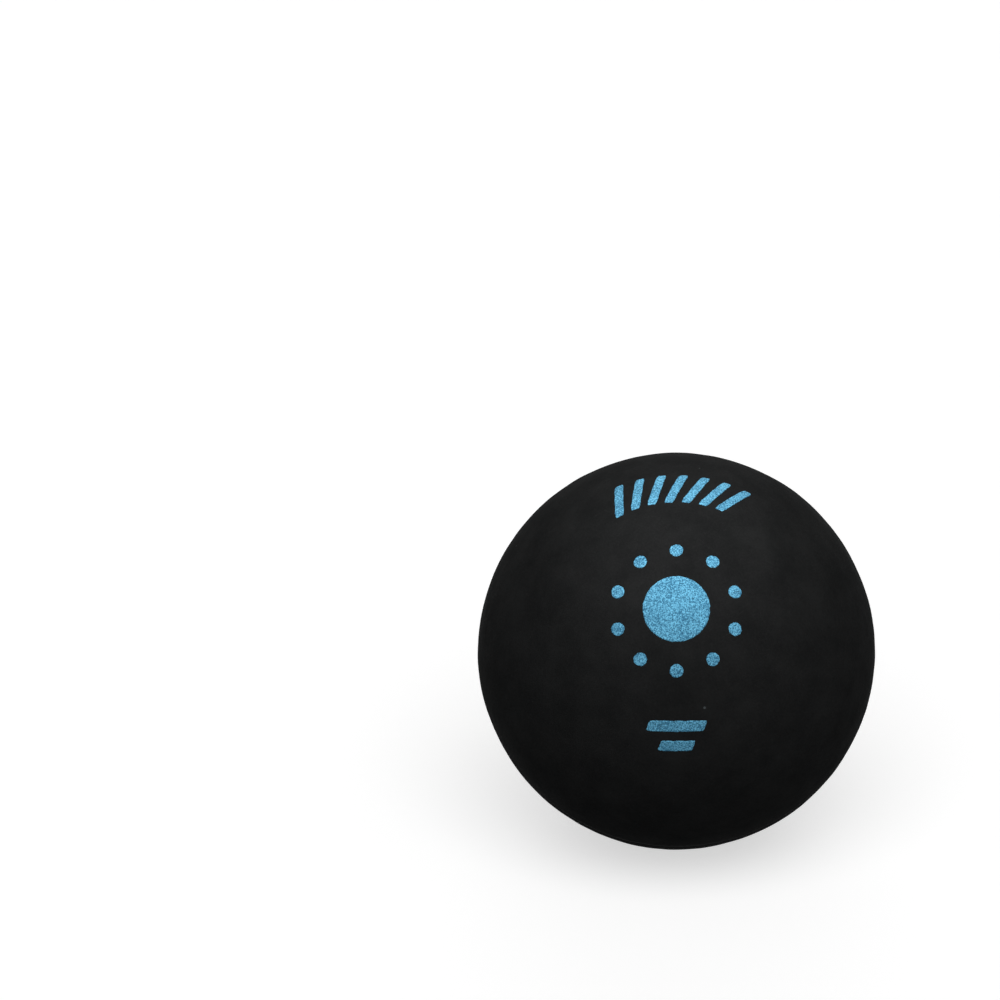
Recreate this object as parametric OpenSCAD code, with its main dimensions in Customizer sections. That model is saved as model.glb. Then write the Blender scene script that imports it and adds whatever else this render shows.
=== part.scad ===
// Introductory squash ball, the large size for beginners. Two thick half shells of black rubber
// are bonded rim to rim with rubber cement and buffed to one round matt skin, and an ink mark
// is printed on the crown of one shell. Lengths are in millimetres and angles in degrees.
// Every piece is drawn about the moulding axis, +Z, with the bonded seam at Z = 0 and the top
// of the print towards +Y, and is then tipped over to the way the ball lies.

/* [Ball] */
// Outside diameter of the ball
ball_d = 45; // [40:0.5:60]
// Thickness of the rubber wall
wall_t = 3.8; // [3:0.1:6]
// How high the print's centre points above the horizontal as the ball lies
print_lift = 36; // [0:1:90]

/* [Bonded seam] */
// Thickness of the cement layer between the two rims
cement_t = 0.2; // [0.1:0.02:0.4]
// Leg of the small bevel round the outer corner of each rim
outer_bevel = 0.15; // [0.05:0.01:0.4]
// Leg of the bevel round the inner corner of each rim, which the squeezed-out cement fills
inner_bevel = 0.6; // [0.3:0.05:1]
// How far the cement's bead crowns into the hollow
bead_h = 0.3; // [0.1:0.05:0.5]
// How far the buffed cement lies below the rubber skin
seam_recess = 0.03; // [0.01:0.01:0.1]

/* [Print] */
// Thickness of the ink film
ink_t = 0.05; // [0.02:0.01:0.1]
// Diameter of the speed dot at the print's centre
dot_d = 7.4; // [5:0.1:9]
// Diameter of each small dot in the ring
ring_dot_d = 1.5; // [1:0.1:2]
// Distance of the small dots' centres from the print's centre, along the skin
ring_reach = 6.9; // [6:0.1:8]
// Number of small dots in the ring
ring_count = 10; // [6:1:12]
// Length of each slanted bar over the ring
bar_l = 5.4; // [4:0.1:6.5]
// Width of each slanted bar
bar_w = 1.05; // [0.6:0.05:1.4]
// Distance between neighbouring bars, centre to centre
bar_pitch = 2.2; // [1.8:0.1:2.6]
// Distance of the bars' middles from the print's centre, along the skin
bar_reach = 16.5; // [14:0.1:18]
// Number of slanted bars
bar_count = 7; // [3:1:9]
// Lean of the slanted bars and of the base bars' ends
bar_lean = 18; // [0:1:30]
// Length of the long base bar under the ring
base_l = 6.4; // [4:0.1:8]
// Length of the short base bar
base_short_l = 3.8; // [2:0.1:6]
// Width of each base bar
base_w = 1.3; // [0.8:0.05:1.6]
// Clear gap between the two base bars
base_gap = 1.1; // [0.5:0.05:2]
// Distance of the base bars' middle from the print's centre, along the skin
base_reach = 14.4; // [12:0.1:17]

/* [Hidden] */
$fn = 180;

ball_r = ball_d / 2;
hollow_r = ball_r - wall_t;
rim_z = cement_t / 2;

// Where a rim's bevels leave its flat face, as distances from the moulding axis
flat_in_r = hollow_r + inner_bevel;
flat_out_r = ball_r - outer_bevel;

// Each bevel runs at 45 degrees. In the half section the inner one is the line
// z = inner_sum - r and the outer one is z = r - outer_gap, and these are the distances from
// the axis at which they come out through the hollow's sphere and the skin's sphere.
inner_sum = flat_in_r + rim_z;
outer_gap = flat_out_r - rim_z;
inner_mouth_r = (inner_sum + sqrt(2 * hollow_r * hollow_r - inner_sum * inner_sum)) / 2;
outer_mouth_r = (outer_gap + sqrt(2 * ball_r * ball_r - outer_gap * outer_gap)) / 2;
inner_mouth_z = inner_sum - inner_mouth_r;
outer_mouth_z = outer_mouth_r - outer_gap;

// The bead's crown is a round arc from one mouth of the inner bevels to the other
bead_r = (inner_mouth_z * inner_mouth_z + bead_h * bead_h) / (2 * bead_h);
bead_middle_r = inner_mouth_r - bead_h + bead_r;

// The stencils that cut the marks out of the ink film stand this far in and out of the skin
stencil_half_h = wall_t / 2;

rubber = [0.09, 0.09, 0.095];
cement = [0.16, 0.16, 0.17];
ink = [0.45, 0.67, 0.8];

// Angle at the ball's centre of a distance along its skin
function skin_angle(reach) = reach / ball_r * 180 / PI;

// Tips a piece from the moulding axis to the way the ball lies, print forwards and up
module as_it_lies() {
    rotate([90 - print_lift, 0, 0])
        children();
}

// Quarter disc in the half section, above the seam's middle plane
module quarter_disc(radius) {
    intersection() {
        circle(r = radius);
        square([radius, radius]);
    }
}

// Half section of one shell: the wall's quarter ring, cut back from the seam's middle plane
// to the flat rim and to the two bevels
module shell_section() {
    difference() {
        quarter_disc(ball_r);
        circle(r = hollow_r);
        square([ball_r, rim_z]);
        polygon([
            [inner_mouth_r - inner_bevel, rim_z],
            [flat_in_r, rim_z],
            [inner_mouth_r - inner_bevel, inner_sum - inner_mouth_r + inner_bevel],
        ]);
        polygon([
            [flat_out_r, rim_z],
            [outer_mouth_r + outer_bevel, rim_z],
            [outer_mouth_r + outer_bevel, outer_mouth_r + outer_bevel - outer_gap],
        ]);
    }
}

// One moulded half shell, crown up
module half_shell() {
    rotate_extrude()
        shell_section();
}

module printed_half_shell() {
    color(rubber)
        as_it_lies()
            half_shell();
}

module plain_half_shell() {
    color(rubber)
        as_it_lies()
            mirror([0, 0, 1])
                half_shell();
}

// Half section of the cement: a thin layer between the flat rims that widens into the bevels
// on both sides, with a crowned bead on the side of the hollow
module cement_section() {
    polygon([
        [inner_mouth_r, -inner_mouth_z],
        [flat_in_r, -rim_z],
        [flat_out_r, -rim_z],
        [outer_mouth_r, -outer_mouth_z],
        [outer_mouth_r, outer_mouth_z],
        [flat_out_r, rim_z],
        [flat_in_r, rim_z],
        [inner_mouth_r, inner_mouth_z],
    ]);
    intersection() {
        translate([bead_middle_r, 0])
            circle(r = bead_r);
        translate([inner_mouth_r - bead_h, -inner_mouth_z])
            square([bead_h, 2 * inner_mouth_z]);
    }
}

// Ring of rubber cement that bonds the rims, buffed a hair lower than the rubber
module seam_cement() {
    color(cement)
        as_it_lies()
            intersection() {
                rotate_extrude()
                    cement_section();
                sphere(r = ball_r - seam_recess);
            }
}

// The ink film as if it covered the whole ball. Its poles are turned away from the print.
module ink_film() {
    rotate([90, 0, 0])
        difference() {
            sphere(r = ball_r + ink_t);
            sphere(r = ball_r);
        }
}

// Stands a flat outline on the skin, at a reach from the print's centre and a turn round it.
// At turn 0 the reach runs towards the top of the print.
module stencil(reach, turn) {
    rotate([0, 0, -turn])
        rotate([-skin_angle(reach), 0, 0])
            translate([0, 0, ball_r - stencil_half_h])
                linear_extrude(height = 2 * stencil_half_h)
                    children();
}

// Bar with upright or leaning ends, centred, whose sides lean to the right by bar_lean
module leaning_bar(wide, tall) {
    shift = tall / 2 * tan(bar_lean);
    polygon([
        [-wide / 2 - shift, -tall / 2],
        [wide / 2 - shift, -tall / 2],
        [wide / 2 + shift, tall / 2],
        [-wide / 2 + shift, tall / 2],
    ]);
}

// Keeps the part of the ink film that the stencils cut out, on the ball as it lies
module print_mark() {
    color(ink)
        as_it_lies()
            intersection() {
                ink_film();
                union()
                    children();
            }
}

module printed_speed_dot() {
    print_mark()
        stencil(0, 0)
            circle(d = dot_d);
}

module printed_dot_ring() {
    print_mark()
        for (i = [0:ring_count - 1])
            stencil(ring_reach, i * 360 / ring_count)
                circle(d = ring_dot_d);
}

module printed_bar_arc() {
    bar_step = bar_pitch / (ball_r * sin(skin_angle(bar_reach))) * 180 / PI;
    print_mark()
        for (i = [0:bar_count - 1])
            stencil(bar_reach, (i - (bar_count - 1) / 2) * bar_step)
                leaning_bar(bar_w, bar_l);
}

module printed_base_bars() {
    row_step = (base_w + base_gap) / 2;
    print_mark() {
        stencil(base_reach - row_step, 180)
            rotate(180)
                leaning_bar(base_l, base_w);
        stencil(base_reach + row_step, 180)
            rotate(180)
                leaning_bar(base_short_l, base_w);
    }
}

printed_half_shell();
plain_half_shell();
seam_cement();
printed_speed_dot();
printed_dot_ring();
printed_bar_arc();
printed_base_bars();
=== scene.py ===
import math

import bpy
import numpy as np
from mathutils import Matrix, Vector


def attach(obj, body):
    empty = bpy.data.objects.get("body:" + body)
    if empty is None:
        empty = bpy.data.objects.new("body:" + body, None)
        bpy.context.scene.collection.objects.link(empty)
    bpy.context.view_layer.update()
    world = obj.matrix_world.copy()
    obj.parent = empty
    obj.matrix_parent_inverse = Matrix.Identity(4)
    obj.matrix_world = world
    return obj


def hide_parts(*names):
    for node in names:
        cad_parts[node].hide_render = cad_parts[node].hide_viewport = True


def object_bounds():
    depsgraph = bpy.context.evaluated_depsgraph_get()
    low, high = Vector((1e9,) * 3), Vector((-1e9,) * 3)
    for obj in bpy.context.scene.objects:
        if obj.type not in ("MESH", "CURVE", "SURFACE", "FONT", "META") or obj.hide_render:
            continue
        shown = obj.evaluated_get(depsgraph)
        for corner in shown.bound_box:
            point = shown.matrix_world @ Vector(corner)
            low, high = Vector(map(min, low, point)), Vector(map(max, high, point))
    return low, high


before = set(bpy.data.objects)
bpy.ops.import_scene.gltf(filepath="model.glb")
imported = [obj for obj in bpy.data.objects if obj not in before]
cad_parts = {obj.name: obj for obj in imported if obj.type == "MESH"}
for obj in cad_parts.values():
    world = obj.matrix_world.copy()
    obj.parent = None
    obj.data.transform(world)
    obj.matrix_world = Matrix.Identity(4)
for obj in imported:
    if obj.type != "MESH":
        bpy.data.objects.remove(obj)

CAD_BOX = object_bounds()
MM = 0.001
SIDE = np.array([1.0, 0.0, 0.0])


def corners_of(node):
    """Every vertex of a node, as rows of x, y and z."""
    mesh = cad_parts[node].data
    flat = np.empty(len(mesh.vertices) * 3, np.float32)
    mesh.vertices.foreach_get("co", flat)
    return flat.reshape(-1, 3).astype(float)


def unit(v):
    """The vector, or each row of vectors, at length one."""
    return v / np.linalg.norm(v, axis=-1, keepdims=True)


def along_and_off(points, way):
    """Each point's distance along a direction, and its distance from that direction's axis."""
    along = points @ way
    return along, np.linalg.norm(points - np.outer(along, way), axis=1)


def bevel_end(total, sphere_r):
    """The radius from the moulding axis at which a 45 degree bevel ends on a sphere. Its height
    there is the total less that radius, or that radius less the total."""
    return (total + math.sqrt(2 * sphere_r**2 - total**2)) / 2


# What the frame gives: the skin's radius, the way the crown of the print points, and from the
# shells and the cement the hollow's radius and the seam's half section.
BALL_R = CAD_BOX[1].x
CROWN = unit(corners_of("printed_speed_dot").mean(axis=0))
TOP_OF_PRINT = np.cross(CROWN, SIDE)
SHELL = corners_of("plain_half_shell")
SHELL_DEPTH, SHELL_OUT = along_and_off(SHELL, -CROWN)
HOLLOW_R = np.linalg.norm(SHELL, axis=1).min()
RIM_Z = SHELL_DEPTH.min()
RIM = SHELL_OUT[SHELL_DEPTH < RIM_Z + 0.01 * MM]
RIM_IN_R, RIM_OUT_R = RIM.min(), RIM.max()
INK_T = np.linalg.norm(corners_of("printed_speed_dot"), axis=1).max() - BALL_R
BEAD_R = np.linalg.norm(corners_of("seam_cement"), axis=1).min()

# Where the rim's outer bevel meets the skin, and its inner one the hollow
OUT_R = bevel_end(RIM_OUT_R - RIM_Z, BALL_R)
OUT_Z = OUT_R - (RIM_OUT_R - RIM_Z)
IN_R = bevel_end(RIM_IN_R + RIM_Z, HOLLOW_R)
IN_Z = RIM_IN_R + RIM_Z - IN_R

# Sizes of the print, as the ink nodes have them
DOT_D = 7.4 * MM
RING_DOT_D = 1.5 * MM
RING_REACH = 6.9 * MM
RING_COUNT = 10
BAR_L = 5.4 * MM
BAR_W = 1.05 * MM
BAR_PITCH = 2.2 * MM
BAR_REACH = 16.5 * MM
BAR_COUNT = 7
BAR_LEAN = math.radians(18)
BAR_POWER = 9
BASE_L = 6.4 * MM
BASE_SHORT_L = 3.8 * MM
BASE_W = 1.3 * MM
BASE_GAP = 1.1 * MM
BASE_REACH = 14.4 * MM

# Grid points across each round film, and across and along each bar
DOT_GRID = 81
RING_DOT_GRID = 33
BAR_GRID = (25, 71)
BASE_GRID = (81, 25)
BASE_SHORT_GRID = (61, 25)

# The photograph's framing, in pixels of its 1000 x 1000 frame
FRAME_PX = 1000
BALL_PX = (676.3, 651.05)
BALL_R_PX = 198.5
FOCAL_PX = 6000
SENSOR_MM = 36
VIEW_LIFT = math.radians(24)


def waves(seed, wavelength, count=64):
    """Wave vectors and phases of a smooth noise of about that wavelength, in random directions."""
    rng = np.random.default_rng(seed)
    ways = unit(rng.normal(size=(count, 3)))
    rates = 2 * np.pi / (wavelength * rng.uniform(0.7, 1.4, size=(count, 1)))
    return ways * rates, rng.uniform(0, 2 * np.pi, count)


def noise(points, wave):
    """Smooth noise at the points: the sum of the waves' cosines, scaled to a spread of one."""
    rates, phases = wave
    return np.cos(points @ rates.T + phases).sum(axis=-1) * math.sqrt(2 / len(phases))


# The buffed skin's gentle unevenness: (wavelength, height) of each layer
SKIN_LAYERS = (
    (waves(11, 13 * MM), 0.016 * MM),
    (waves(12, 5.2 * MM), 0.010 * MM),
    (waves(13, 2.1 * MM), 0.005 * MM),
)


def skin_height(ways):
    """How far the skin stands above the true sphere, in each direction: the sum of the layers."""
    points = ways * BALL_R
    return sum(height * noise(points, wave) for wave, height in SKIN_LAYERS)


def on_skin(ways, above=0.0):
    """Points on the uneven skin in the given directions, lifted by a height above it."""
    return ways * (BALL_R + skin_height(ways) + above)[..., None]


def add_piece(name, points, faces, node, slot, material):
    """A smooth mesh object that rides on the ball's one body and stands for a node."""
    mesh = bpy.data.meshes.new(name)
    mesh.from_pydata(points, [], faces)
    mesh.update()
    mesh.shade_smooth()
    piece = bpy.data.objects.new(name, mesh)
    bpy.context.scene.collection.objects.link(piece)
    mesh.materials.append(material)
    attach(piece, "root")
    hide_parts(node)
    return piece


def square_grid(across, along=None):
    """Places s and t from -1 to 1 on a square grid, one row for each t."""
    s = np.linspace(-1, 1, across)
    t = np.linspace(-1, 1, along or across)
    return np.meshgrid(s, t)


def grid_quads(rows, columns, first=0, flip=False):
    """Quads of a grid whose points are numbered row by row from the first."""
    i = np.arange(rows - 1)[:, None] * columns + np.arange(columns - 1)[None, :] + first
    quads = np.stack([i, i + 1, i + columns + 1, i + columns], axis=-1).reshape(-1, 4)
    return quads[:, ::-1] if flip else quads


def rim_loop(rows, columns, first=0):
    """Numbers of a grid's outer points in turn, counter-clockwise."""
    index = np.arange(rows * columns).reshape(rows, columns) + first
    return np.concatenate([index[0, :-1], index[:-1, -1], index[-1, :0:-1], index[:0:-1, 0]])


def band_quads(one, other):
    """Quads between two closed loops of as many points."""
    return np.stack([one, np.roll(one, -1), np.roll(other, -1), other], axis=-1)


def square_to_disc(s, t):
    """A square carried to the unit disc. Each square ring of half side m becomes the circle of
    radius m, and a point's place along its side becomes up to an eighth of a turn. Gives m and
    the turn."""
    m = np.maximum(np.abs(s), np.abs(t))
    wide = np.abs(s) >= np.abs(t)
    lead = np.where(wide, s, t)
    share = np.where(wide, t, s) / np.where(lead == 0, 1, lead)
    turn = np.where(wide, share, 2 - share) * np.pi / 4
    return m, turn + np.where(lead < 0, np.pi, 0)


def moulding_frame(crown):
    """Rows x, y and z of a shell's own frame, with z along its crown."""
    return np.array([SIDE, np.cross(crown, SIDE), crown])


def dome_ways(grid, reach, crown):
    """Unit directions over a dome: grid points carried to a disc, whose radius becomes the angle
    from the crown, up to reach."""
    m, turn = square_to_disc(*grid)
    tilt = m * reach
    off = np.sin(tilt)
    own = np.stack([off * np.cos(turn), off * np.sin(turn), np.cos(tilt)], axis=-1)
    return (own @ moulding_frame(crown)).reshape(-1, 3)


# Points along a dome's side, round the cement, across its outer face and over its bead
DOME_N = 201
SEAM_N = 900
FACE_N = 7
BEAD_N = 11

# How far buffing rounds the rim's bevel (out and up, as shares of its width), the share of the
# groove's width that the cement's outer face spans, and how far that face lies under the skin
BEVEL_BOW = (0.3, 0.2)
FACE_SHARE = 0.95
CEMENT_RECESS = 0.03 * MM


def half_shell(name, crown, node, material):
    """One half shell as a closed mesh: a dome of skin, the rim's rings, and the hollow's dome. The
    skin's edge swells and shrinks a little round the ball, as hand buffing leaves it."""
    grid = square_grid(DOME_N)
    skin = on_skin(dome_ways(grid, math.asin(OUT_R / BALL_R), crown))
    hollow = dome_ways(grid, math.asin(IN_R / HOLLOW_R), crown) * HOLLOW_R
    loop = rim_loop(DOME_N, DOME_N)
    level = unit(skin[loop] - np.outer(skin[loop] @ crown, crown))
    bevel = OUT_R - RIM_OUT_R
    section = (
        (RIM_OUT_R + BEVEL_BOW[0] * bevel, RIM_Z + BEVEL_BOW[1] * bevel),
        (RIM_OUT_R, RIM_Z),
        ((RIM_OUT_R + RIM_IN_R) / 2, RIM_Z),
        (RIM_IN_R, RIM_Z),
    )
    rings = [level * radius + crown * height for radius, height in section]
    inner = len(skin) + len(rings) * len(loop)
    starts = len(skin) + np.arange(len(rings)) * len(loop)
    loops = [loop, *(start + np.arange(len(loop)) for start in starts), loop + inner]
    faces = np.concatenate([
        grid_quads(DOME_N, DOME_N),
        *[band_quads(below, above) for below, above in zip(loops[1:], loops[:-1])],
        grid_quads(DOME_N, DOME_N, inner, flip=True),
    ])
    points = np.concatenate([skin, *rings, hollow])
    return add_piece(name, points, faces, node, "black_rubber", material)


def cement_section():
    """The cement's half section as places of radius and height: the inner end of one bevel, the
    joint's two sides and the nearly flat outer face between them, the other bevel's inner end,
    and the bead, whose radius falls to its crown as the height's square does."""
    one_side = [(IN_R, -IN_Z), (RIM_IN_R, -RIM_Z), (RIM_OUT_R, -RIM_Z)]
    face = [(OUT_R - CEMENT_RECESS, FACE_SHARE * OUT_Z * a) for a in np.linspace(-1, 1, FACE_N)]
    other_side = [(RIM_OUT_R, RIM_Z), (RIM_IN_R, RIM_Z), (IN_R, IN_Z)]
    inner = np.linspace(1, -1, BEAD_N)[1:-1]
    bead = [(BEAD_R + (IN_R - BEAD_R) * a * a, IN_Z * a) for a in inner]
    return one_side + face + other_side + bead


def seam_cement(material):
    """The cement as a closed ring: its half section carried round the moulding axis. The outer
    face lies just under the skin and follows its unevenness."""
    turn = np.linspace(0, 2 * np.pi, SEAM_N, endpoint=False)
    level = np.outer(np.cos(turn), SIDE) + np.outer(np.sin(turn), TOP_OF_PRINT)
    uneven = skin_height(level)[:, None]
    section = cement_section()
    rows = [
        level * (radius + (uneven if radius > RIM_OUT_R else 0)) + CROWN * height
        for radius, height in section
    ]
    loops = [n * SEAM_N + np.arange(SEAM_N) for n in range(len(section))]
    faces = np.concatenate([band_quads(a, b) for a, b in zip(loops, loops[1:] + loops[:1])])
    points = np.concatenate(rows)
    return add_piece("seam_cement_ring", points, faces, "seam_cement", "rubber_cement", material)


def feed(tree, node, inputs):
    """A node's inputs set to values, or linked to other nodes' sockets."""
    for key, value in inputs.items():
        if isinstance(value, bpy.types.NodeSocket):
            tree.links.new(value, node.inputs[key])
        else:
            node.inputs[key].default_value = value


def put(tree, kind, inputs=None, **settings):
    """A shader node with its settings and its inputs."""
    made = tree.nodes.new("ShaderNode" + kind)
    for key, value in settings.items():
        setattr(made, key, value)
    feed(tree, made, inputs or {})
    return made


def calc(tree, operation, *values):
    """The result socket of a Math node."""
    return put(tree, "Math", dict(enumerate(values)), operation=operation).outputs[0]


def weigh(tree, start, *parts):
    """The start value plus each part times its weight."""
    for value, weight in parts:
        start = calc(tree, "MULTIPLY_ADD", value, weight, start)
    return start


def ramp(tree, value, low, high, to_low=0.0, to_high=1.0):
    """A value carried smoothly from one range to another and held at its ends."""
    return put(
        tree,
        "MapRange",
        {"Value": value, "From Min": low, "From Max": high, "To Min": to_low, "To Max": to_high},
        interpolation_type="SMOOTHSTEP",
    ).outputs["Result"]


def noise_at(tree, place, size, detail=2.0, rough=0.5):
    """A noise texture whose features are about as large as size, in metres."""
    inputs = {"Vector": place, "Scale": 1 / size, "Detail": detail, "Roughness": rough}
    return put(tree, "TexNoise", inputs).outputs["Fac"]


def specks_at(tree, place, pitch, radius, share):
    """Round specks: of the cells of a Voronoi pattern, the given share holds one speck each."""
    cells = put(tree, "TexVoronoi", {"Vector": place, "Scale": 1 / pitch, "Randomness": 1.0})
    near = ramp(tree, cells.outputs["Distance"], radius / pitch, 0.4 * radius / pitch)
    pick = put(tree, "SeparateColor", {"Color": cells.outputs["Color"]}).outputs["Red"]
    return calc(tree, "MULTIPLY", near, calc(tree, "LESS_THAN", pick, share))


def spot_at(tree, place, centre, radius):
    """One round spot about a point."""
    far = put(tree, "VectorMath", {0: place, 1: centre}, operation="DISTANCE").outputs["Value"]
    return ramp(tree, far, radius, 0.3 * radius)


def blend(tree, factor, low, high):
    """A colour between two, by a factor. Each is three numbers, or the colour of another node."""
    mixed = put(tree, "Mix", {"Factor": factor}, data_type="RGBA")
    for socket, colour in (("A", low), ("B", high)):
        if isinstance(colour, bpy.types.NodeSocket):
            tree.links.new(colour, mixed.inputs[socket])
        else:
            mixed.inputs[socket].default_value = (*colour, 1)
    return mixed.outputs["Result"]


def relief_of(tree, height, distance, strength=1.0):
    """The normals of an uneven surface on which a height of one is the given distance."""
    inputs = {"Height": height, "Distance": distance, "Strength": strength}
    return put(tree, "Bump", inputs).outputs["Normal"]


def new_group(name, inputs, outputs):
    """An empty shader node group with named sockets. Gives the tree and its two end nodes."""
    tree = bpy.data.node_groups.new(name, "ShaderNodeTree")
    for socket, kind in inputs.items():
        tree.interface.new_socket(socket, in_out="INPUT", socket_type=kind)
    for socket in outputs:
        tree.interface.new_socket(socket, in_out="OUTPUT", socket_type="NodeSocketFloat")
    return tree, tree.nodes.new("NodeGroupInput"), tree.nodes.new("NodeGroupOutput")


# Sizes of what shows in the buffed rubber
GRAIN = 0.24 * MM
LUMP = 0.9 * MM
MOTTLE = 4.2 * MM
SCRATCH = 0.17 * MM
SCRATCH_STRETCH = 12
SCRATCH_TURNS = ((0.3, 0.2, 0.5), (1.9, 0.7, 2.4), (0.9, 2.2, 4.1))
PIT_PITCH, PIT_R, PIT_SHARE = 1.5 * MM, 0.12 * MM, 0.2
DUST_PITCH, DUST_R, DUST_SHARE = 2.6 * MM, 0.10 * MM, 0.14
RUBBER_RELIEF = 0.030 * MM

# The one larger fleck of dust, which lies on the printed half above the base bars
FLECK = [c * BALL_R for c in (0.138, -0.981, 0.134)]
FLECK_R = 0.20 * MM

# The strip ground flush along the seam: its half width, how far its edge wavers and how long that
# takes, and the fine lines that the wheel left along it
GROUND_HALF = 1.7 * MM
GROUND_WAVER = 1.6 * MM
GROUND_WAVE = 3.2 * MM
GROUND_LINE = 0.10 * MM
GROUND_STRETCH = 26

# Sizes of what shows in the cement and in the ink
CEMENT_LUMP = 0.7 * MM
INK_BODY = 0.155 * MM
INK_CLOUD = 2.4 * MM
INK_HOLE = 0.15 * MM
THIN_RELIEF = 0.02 * MM

# Colours, in linear light
RUBBER_DARK, RUBBER_DUSTY = (0.0126, 0.0131, 0.0133), (0.0208, 0.0213, 0.0214)
DUST = (0.13, 0.15, 0.16)
CEMENT_DARK, CEMENT_LIGHT = (0.0060, 0.0060, 0.0062), (0.0160, 0.0160, 0.0165)
INK_THIN, INK_FULL = (0.046, 0.192, 0.331), (0.196, 0.608, 0.886)
INK_BARE = (0.02, 0.06, 0.10)

# Base roughness and specular level of each material. All three are matt.
RUBBER_ROUGH, RUBBER_GLOSS = 0.98, 0.012
CEMENT_ROUGH, CEMENT_GLOSS = 0.55, 0.03
INK_ROUGH, INK_GLOSS = 0.72, 0.05

# How much of the dust's colour a speck shows, and of the bare rubber's a hole in the ink
DUST_SHOWS = 0.6
BARE_SHOWS = 0.75


def streaks_at(tree, place, turn, stretch, size):
    """A noise drawn out along one direction: the places are turned, and that direction is then
    squeezed by the stretch."""
    inputs = {"Vector": place, "Rotation": turn}
    turned = put(tree, "VectorRotate", inputs, rotation_type="EULER_XYZ")
    squeeze = [1 / k for k in stretch]
    drawn = put(tree, "VectorMath", {0: turned.outputs[0], 1: squeeze}, operation="MULTIPLY")
    return noise_at(tree, drawn.outputs[0], size, 1)


def scratches_at(tree, place):
    """Short scratches that run three ways: of each set of streaks only the highest crests."""
    scratches = 0.0
    for turn in SCRATCH_TURNS:
        lines = streaks_at(tree, place, turn, (1, 1, SCRATCH_STRETCH), SCRATCH)
        scratches = calc(tree, "MAXIMUM", ramp(tree, lines, 0.62, 0.80), scratches)
    return scratches


def buffed_grain_group():
    """The buffed rubber's relief, which the ink and the cement share: a fine grain, softer lumps,
    short scratches, and a few pits. Mottle is the slow change of tone across the skin, and Fine
    is the quick one."""
    outputs = ("Height", "Mottle", "Fine", "Scratches", "Pits")
    tree, start, end = new_group("buffed_grain", {"Place": "NodeSocketVector"}, outputs)
    place = start.outputs["Place"]
    grain = noise_at(tree, place, GRAIN, 3, 0.65)
    lumps = noise_at(tree, place, LUMP, 2)
    scratches = scratches_at(tree, place)
    pits = specks_at(tree, place, PIT_PITCH, PIT_R, PIT_SHARE)
    parts = ((grain, 0.8), (lumps, 1.0), (scratches, -0.3), (pits, -1.0))
    feed(tree, end, {
        "Height": weigh(tree, 0.0, *parts),
        "Mottle": noise_at(tree, place, MOTTLE, 4, 0.66),
        "Fine": grain,
        "Scratches": scratches,
        "Pits": pits,
    })
    return tree


def seam_grinding_group():
    """Where the seam was ground flush: Band is a mask of the strip along the seam, with a wavering
    edge, and Lines are the fine lines that the wheel left along it."""
    tree, start, end = new_group("seam_grinding", {"Place": "NodeSocketVector"}, ("Band", "Lines"))
    place = start.outputs["Place"]
    lean = math.atan2(-CROWN[1], CROWN[2])
    turned = put(tree, "VectorRotate", {"Vector": place, "Angle": -lean}, rotation_type="X_AXIS")
    height = put(tree, "SeparateXYZ", {0: turned.outputs[0]}).outputs["Z"]
    waver = calc(tree, "SUBTRACT", noise_at(tree, place, GROUND_WAVE, 2), 0.5)
    off = weigh(tree, calc(tree, "ABSOLUTE", height), (waver, GROUND_WAVER))
    along = (GROUND_STRETCH, GROUND_STRETCH, 1)
    feed(tree, end, {
        "Band": ramp(tree, off, GROUND_HALF, 0.45 * GROUND_HALF),
        "Lines": streaks_at(tree, place, (-lean, 0, 0), along, GROUND_LINE),
    })
    return tree


def new_material(name, grain):
    """A material with its Principled shader and the shared grain, on the object's own places."""
    made = bpy.data.materials.new(name)
    made.use_nodes = True
    tree = made.node_tree
    place = put(tree, "TexCoord").outputs["Object"]
    relief = put(tree, "Group", node_tree=grain)
    feed(tree, relief, {"Place": place})
    return made, tree, tree.nodes["Principled BSDF"], place, relief.outputs


def black_rubber_material(grain, grinding):
    """Black rubber, buffed matt: nearly black, a little greyer where the buffing left it dusty,
    with sparse pale specks of dust. It is duller in the pits and along the seam."""
    made, tree, shader, place, relief = new_material("buffed_black_rubber", grain)
    seam = put(tree, "Group", {"Place": place}, node_tree=grinding).outputs
    mottle, pits, band = relief["Mottle"], relief["Pits"], seam["Band"]
    parts = ((relief["Fine"], 0.6), (mottle, 1.1), (relief["Scratches"], 0.2), (band, 0.12))
    tone = weigh(tree, 0.0, *parts)
    bare = blend(tree, ramp(tree, tone, 0.50, 1.25), RUBBER_DARK, RUBBER_DUSTY)
    specks = specks_at(tree, place, DUST_PITCH, DUST_R, DUST_SHARE)
    specks = calc(tree, "MAXIMUM", specks, spot_at(tree, place, FLECK, FLECK_R))
    lines = calc(tree, "MULTIPLY", band, calc(tree, "SUBTRACT", seam["Lines"], 0.5))
    height = weigh(tree, relief["Height"], (lines, 1.2))
    feed(tree, shader, {
        "Base Color": blend(tree, calc(tree, "MULTIPLY", specks, DUST_SHOWS), bare, DUST),
        "Roughness": weigh(tree, RUBBER_ROUGH, (mottle, -0.10), (pits, 0.1), (band, 0.06)),
        "Specular IOR Level": RUBBER_GLOSS,
        "Normal": relief_of(tree, height, RUBBER_RELIEF),
    })
    return made


def rubber_cement_material(grain):
    """Cured cement: a little blacker than the buffed rubber beside it, with soft lumps."""
    made, tree, shader, place, relief = new_material("cured_rubber_cement", grain)
    lumps = noise_at(tree, place, CEMENT_LUMP, 3)
    feed(tree, shader, {
        "Base Color": blend(tree, ramp(tree, lumps, 0.3, 0.7), CEMENT_DARK, CEMENT_LIGHT),
        "Roughness": weigh(tree, CEMENT_ROUGH, (lumps, 0.2)),
        "Specular IOR Level": CEMENT_GLOSS,
        "Normal": relief_of(tree, calc(tree, "ADD", relief["Height"], lumps), THIN_RELIEF),
    })
    return made


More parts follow.
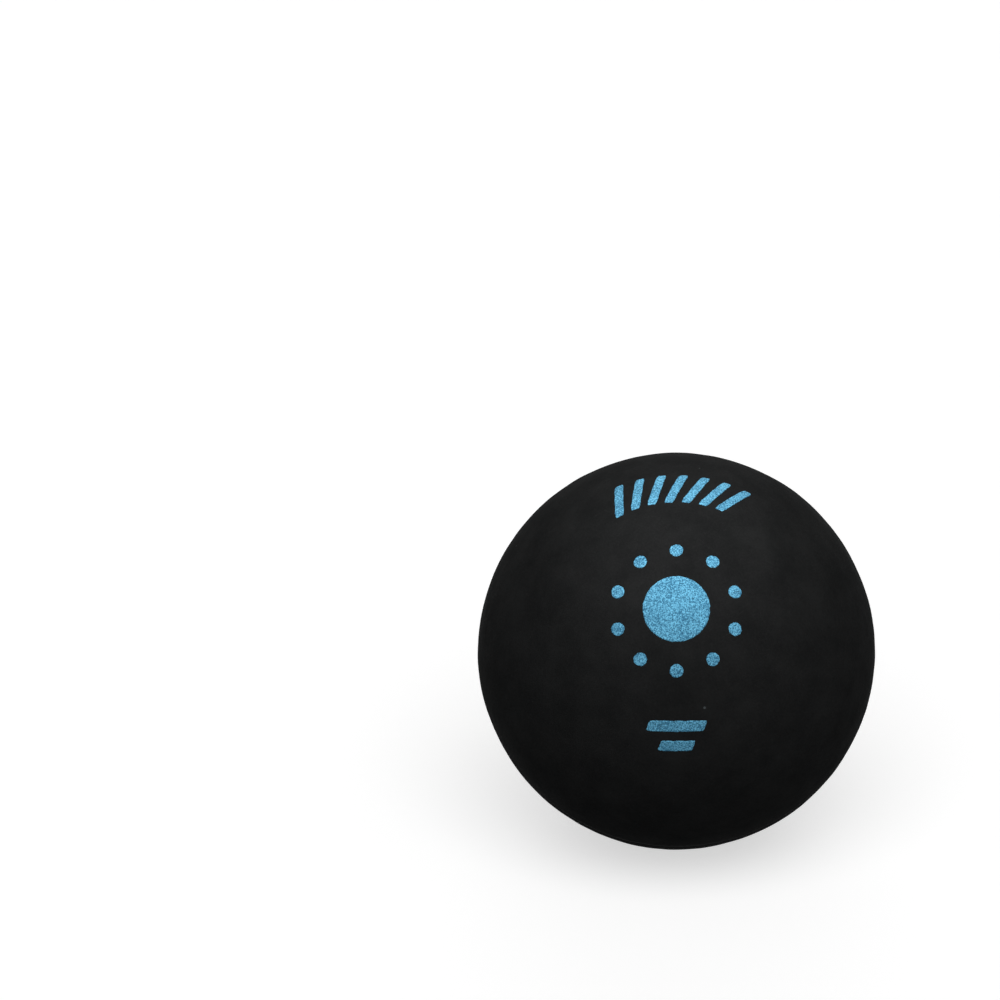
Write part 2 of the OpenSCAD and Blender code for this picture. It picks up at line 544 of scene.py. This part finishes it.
def blue_ink_material(grain):
    """Light blue printing ink: a thin film that the rubber's grain shows through as dark specks,
    fuller and lighter in some places than in others."""
    made, tree, shader, place, relief = new_material("printed_blue_ink", grain)
    body = noise_at(tree, place, INK_BODY, 1)
    cloud = noise_at(tree, place, INK_CLOUD, 2)
    full = ramp(tree, weigh(tree, 0.0, (body, 0.9), (cloud, 0.25)), 0.41, 0.74)
    bare = ramp(tree, noise_at(tree, place, INK_HOLE, 1), 0.40, 0.30)
    film = blend(tree, full, INK_THIN, INK_FULL)
    feed(tree, shader, {
        "Base Color": blend(tree, calc(tree, "MULTIPLY", bare, BARE_SHOWS), film, INK_BARE),
        "Roughness": weigh(tree, INK_ROUGH, (bare, 0.1)),
        "Specular IOR Level": INK_GLOSS,
        "Normal": relief_of(tree, weigh(tree, relief["Height"], (bare, -0.5)), THIN_RELIEF, 0.8),
    })
    return made


def flat_frame(reach, turn):
    """Rows right, up and out at a mark's middle: out is the crown tipped by the reach along the
    skin towards the top of the print, then turned clockwise about the crown."""
    angle = reach / BALL_R
    away = math.cos(turn) * TOP_OF_PRINT + math.sin(turn) * SIDE
    right = math.cos(turn) * SIDE - math.sin(turn) * TOP_OF_PRINT
    out = math.cos(angle) * CROWN + math.sin(angle) * away
    return np.array([right, np.cross(out, right), out])


# What pushes a mark's edge about, which makes it ragged: the waves of the shift across and up the
# stencil, and the shift's height. Then the film's rounded border, and how deep its root sits.
EDGE_SHIFTS = (
    ([waves(21, 0.9 * MM, 40), waves(22, 0.9 * MM, 40)], 0.012 * MM),
    ([waves(31, 0.35 * MM, 40), waves(32, 0.35 * MM, 40)], 0.010 * MM),
)
FILM_EDGE = 0.14 * MM
FILM_ROOT = 0.012 * MM


def film_patch(x, y, inset, frame_rows):
    """One closed film of ink. x and y are a grid of places on the flat stencil, and inset is each
    one's distance from the mark's edge. The places are pushed about by a fine noise and dropped
    on the skin along the stencil's own axis. The film's height rises from nothing at its edge to
    the full thickness as a quarter circle does. Gives its points and its quads."""
    flat = np.stack([x, y, np.zeros_like(x)], axis=-1).reshape(-1, 3)
    shift = sum(
        height * np.stack([noise(flat, wave) for wave in pair], axis=-1)
        for pair, height in EDGE_SHIFTS
    )
    across, up = (flat[:, :2] + shift).T
    depth = np.sqrt(BALL_R**2 - across**2 - up**2)
    ways = unit(np.column_stack([across, up, depth]) @ frame_rows)
    rise = np.clip(inset.ravel() / FILM_EDGE, 0, 1)
    top = on_skin(ways, INK_T * np.sqrt(1 - (1 - rise) ** 2))
    root = on_skin(ways, -FILM_ROOT)
    loop = rim_loop(*x.shape)
    quads = np.concatenate([
        grid_quads(*x.shape),
        grid_quads(*x.shape, x.size, flip=True),
        band_quads(loop + x.size, loop),
    ])
    return np.concatenate([top, root]), quads


def round_film(diameter, across, frame_rows):
    """A round mark: a grid carried to a disc."""
    m, turn = square_to_disc(*square_grid(across))
    radius = m * diameter / 2
    inset = diameter / 2 - radius
    return film_patch(radius * np.cos(turn), radius * np.sin(turn), inset, frame_rows)


def bar_film(wide, tall, grid, frame_rows):
    """A bar whose sides lean to the right: a grid stretched to a parallelogram, with its corners
    drawn in so that the outline is a superellipse of a high power."""
    s, t = square_grid(*grid)
    m = np.maximum(np.abs(s), np.abs(t))
    corner = np.minimum(np.abs(s), np.abs(t)) / np.where(m > 0, m, 1)
    draw = (1 + corner**BAR_POWER) ** (-1 / BAR_POWER)
    x, y = s * draw * wide / 2, t * draw * tall / 2
    inset = np.minimum((1 - np.abs(s)) * wide / 2, (1 - np.abs(t)) * tall / 2)
    return film_patch(x + y * math.tan(BAR_LEAN), y, inset, frame_rows)


def joined(patches):
    """Several closed meshes as one list of points and one of quads."""
    points, quads, count = [], [], 0
    for p, q in patches:
        points.append(p)
        quads.append(q + count)
        count += len(p)
    return np.concatenate(points), np.concatenate(quads)


def ring_of_dots():
    """Small dots evenly round the crown."""
    turns = np.arange(RING_COUNT) * 2 * math.pi / RING_COUNT
    return [round_film(RING_DOT_D, RING_DOT_GRID, flat_frame(RING_REACH, turn)) for turn in turns]


def arc_of_bars():
    """Bars side by side on an arc about the crown. The turn from one to the next is their pitch
    over the radius of the arc's own small circle."""
    turns = (np.arange(BAR_COUNT) - (BAR_COUNT - 1) / 2) * BAR_PITCH
    turns /= BALL_R * math.sin(BAR_REACH / BALL_R)
    return [bar_film(BAR_W, BAR_L, BAR_GRID, flat_frame(BAR_REACH, turn)) for turn in turns]


def pair_of_base_bars():
    """Two level bars below the dots, the upper one longer."""
    half_pitch = (BASE_W + BASE_GAP) / 2
    upper = flat_frame(half_pitch - BASE_REACH, 0)
    lower = flat_frame(-half_pitch - BASE_REACH, 0)
    return [
        bar_film(BASE_L, BASE_W, BASE_GRID, upper),
        bar_film(BASE_SHORT_L, BASE_W, BASE_SHORT_GRID, lower),
    ]


def print_marks(ink):
    """The four groups of marks, each one piece."""
    marks = {
        "speed_dot": [round_film(DOT_D, DOT_GRID, flat_frame(0, 0))],
        "dot_ring": ring_of_dots(),
        "bar_arc": arc_of_bars(),
        "base_bars": pair_of_base_bars(),
    }
    for name, patches in marks.items():
        add_piece(f"{name}_ink", *joined(patches), f"printed_{name}", "blue_ink", ink)


def put_camera():
    """A long lens that looks down by the view's lift, at the distance where the ball's outline has
    its radius in the photograph, turned so that its centre falls where the photograph has it."""
    data = bpy.data.cameras.new("photo_camera")
    data.sensor_width = SENSOR_MM
    data.lens = data.sensor_width * FOCAL_PX / FRAME_PX
    data.clip_start = 0.01
    data.clip_end = 10
    camera = bpy.data.objects.new("photo_camera", data)
    bpy.context.scene.collection.objects.link(camera)
    right = BALL_PX[0] - FRAME_PX / 2
    down = BALL_PX[1] - FRAME_PX / 2
    off_axis = math.hypot(right, down) / FOCAL_PX
    share = BALL_R_PX / FOCAL_PX / (1 + off_axis**2)
    distance = BALL_R / math.sin(math.atan(share))
    back = Vector((0, -math.cos(VIEW_LIFT), math.sin(VIEW_LIFT)))
    camera.location = back * distance
    level = (-back).to_track_quat("-Z", "Y").to_matrix()
    sight = Vector((right, -down, -FOCAL_PX)).normalized()
    turned = sight.rotation_difference(Vector((0, 0, -1))).to_matrix()
    camera.rotation_euler = (level @ turned).to_euler()
    bpy.context.scene.camera = camera


# The floor: its half side, its paleness and glow where it is seen, and the paleness with which it
# lights the ball from below
FLOOR_HALF = 3.0
FLOOR_PALE = 0.6
FLOOR_GLOW = 0.62
FLOOR_BOUNCE = 0.18

# The far soft lamps, as (name, turn to the right of the camera, lift above the floor's level,
# strength), and how wide each one looks from the ball
SOFTBOXES = (
    ("front_softbox", 0.0, math.radians(54), 0.50),
    ("right_softbox", math.radians(45), math.radians(48), 0.08),
    ("back_softbox", math.radians(180), math.radians(16), 0.24),
)
SOFTBOX_WIDTH = math.radians(55)

# The key lamp, aimed at the ball's centre: its lift, its distance from the ball's skin, the radius
# of its soft-edged pool of light there, its own radius and its strength
KEY_LIFT = math.radians(61)
KEY_DISTANCE = 0.3
KEY_POOL = 0.72 * BALL_R
KEY_RADIUS = 0.003
KEY_STRENGTH = 0.50

# The even light from the white room
ROOM_FILL = 0.14


def seen_and_lit(tree, seen, lit):
    """One shader for what the camera sees, straight or by gloss or through glass, which is a white
    studio, and another one for the light that falls on the ball."""
    path = put(tree, "LightPath").outputs
    rays = calc(tree, "MAXIMUM", path["Is Camera Ray"], path["Is Glossy Ray"])
    rays = calc(tree, "MAXIMUM", rays, path["Is Transmission Ray"])
    return put(tree, "MixShader", {0: rays, 1: lit, 2: seen}).outputs[0]


def grey(value):
    """A colour without a hue."""
    return (value, value, value, 1)


def pale_floor_material():
    """Plain pale paper: where it is seen, a glow lifts its lit part to white and leaves the
    shadow."""
    made = bpy.data.materials.new("pale_floor")
    made.use_nodes = True
    tree = made.node_tree
    tree.nodes.remove(tree.nodes["Principled BSDF"])
    paper = put(tree, "BsdfDiffuse", {"Color": grey(FLOOR_PALE)}).outputs[0]
    glow = put(tree, "Emission", {"Strength": FLOOR_GLOW}).outputs[0]
    bounce = put(tree, "BsdfDiffuse", {"Color": grey(FLOOR_BOUNCE)}).outputs[0]
    seen = put(tree, "AddShader", {0: paper, 1: glow}).outputs[0]
    feed(tree, tree.nodes["Material Output"], {"Surface": seen_and_lit(tree, seen, bounce)})
    return made


def put_stage():
    """A pale floor under the ball."""
    s, t = square_grid(2)
    points = np.column_stack([s.ravel(), t.ravel(), np.zeros(4)]) * FLOOR_HALF
    points[:, 2] = CAD_BOX[0].z
    mesh = bpy.data.meshes.new("floor")
    mesh.from_pydata(points, [], grid_quads(2, 2))
    mesh.materials.append(pale_floor_material())
    floor = bpy.data.objects.new("floor", mesh)
    bpy.context.scene.collection.objects.link(floor)


def way_of(turn, lift):
    """The direction at a turn to the right of the camera and a lift above the floor's level."""
    level = math.cos(lift)
    return Vector((level * math.sin(turn), -level * math.cos(turn), math.sin(lift)))


def hang_lamp(name, kind, energy, way):
    """A lamp that shines down its way, and its holder, which stands at the ball's centre."""
    lamp = bpy.data.lights.new(name, kind)
    lamp.energy = energy
    holder = bpy.data.objects.new(name, lamp)
    bpy.context.scene.collection.objects.link(holder)
    holder.rotation_euler = way.to_track_quat("Z", "Y").to_euler()
    return holder, lamp


def put_light():
    """The far soft lamps, the key lamp's soft-edged pool of light on the upper front of the ball,
    and the even light of the room. At strength 1 a white face turned to a lamp is lit to white,
    for which a spot at distance d needs the power 4 pi squared d squared."""
    for name, turn, lift, strength in SOFTBOXES:
        lamp = hang_lamp(name, "SUN", math.pi * strength, way_of(turn, lift))[1]
        lamp.angle = SOFTBOX_WIDTH
    way = way_of(0, KEY_LIFT)
    power = 4 * math.pi**2 * KEY_DISTANCE**2 * KEY_STRENGTH
    holder, lamp = hang_lamp("key_lamp", "SPOT", power, way)
    holder.location = way * (BALL_R + KEY_DISTANCE)
    lamp.spot_size = 2 * math.atan(KEY_POOL / KEY_DISTANCE)
    lamp.spot_blend = 1
    lamp.shadow_soft_size = KEY_RADIUS
    world = bpy.data.worlds.new("studio")
    bpy.context.scene.world = world
    world.use_nodes = True
    tree = world.node_tree
    tree.nodes.remove(tree.nodes["Background"])
    white = put(tree, "Background", {"Color": grey(1), "Strength": 1.0}).outputs[0]
    fill = put(tree, "Background", {"Color": grey(1), "Strength": ROOM_FILL}).outputs[0]
    feed(tree, tree.nodes["World Output"], {"Surface": seen_and_lit(tree, white, fill)})


put_camera()
put_stage()
put_light()
buffed_grain = buffed_grain_group()
rubber = black_rubber_material(buffed_grain, seam_grinding_group())
cement = rubber_cement_material(buffed_grain)
ink = blue_ink_material(buffed_grain)
half_shell("printed_half_shell_rubber", CROWN, "printed_half_shell", rubber)
half_shell("plain_half_shell_rubber", -CROWN, "plain_half_shell", rubber)
seam_cement(cement)
print_marks(ink)
bpy.context.scene.view_settings.view_transform = "Standard"
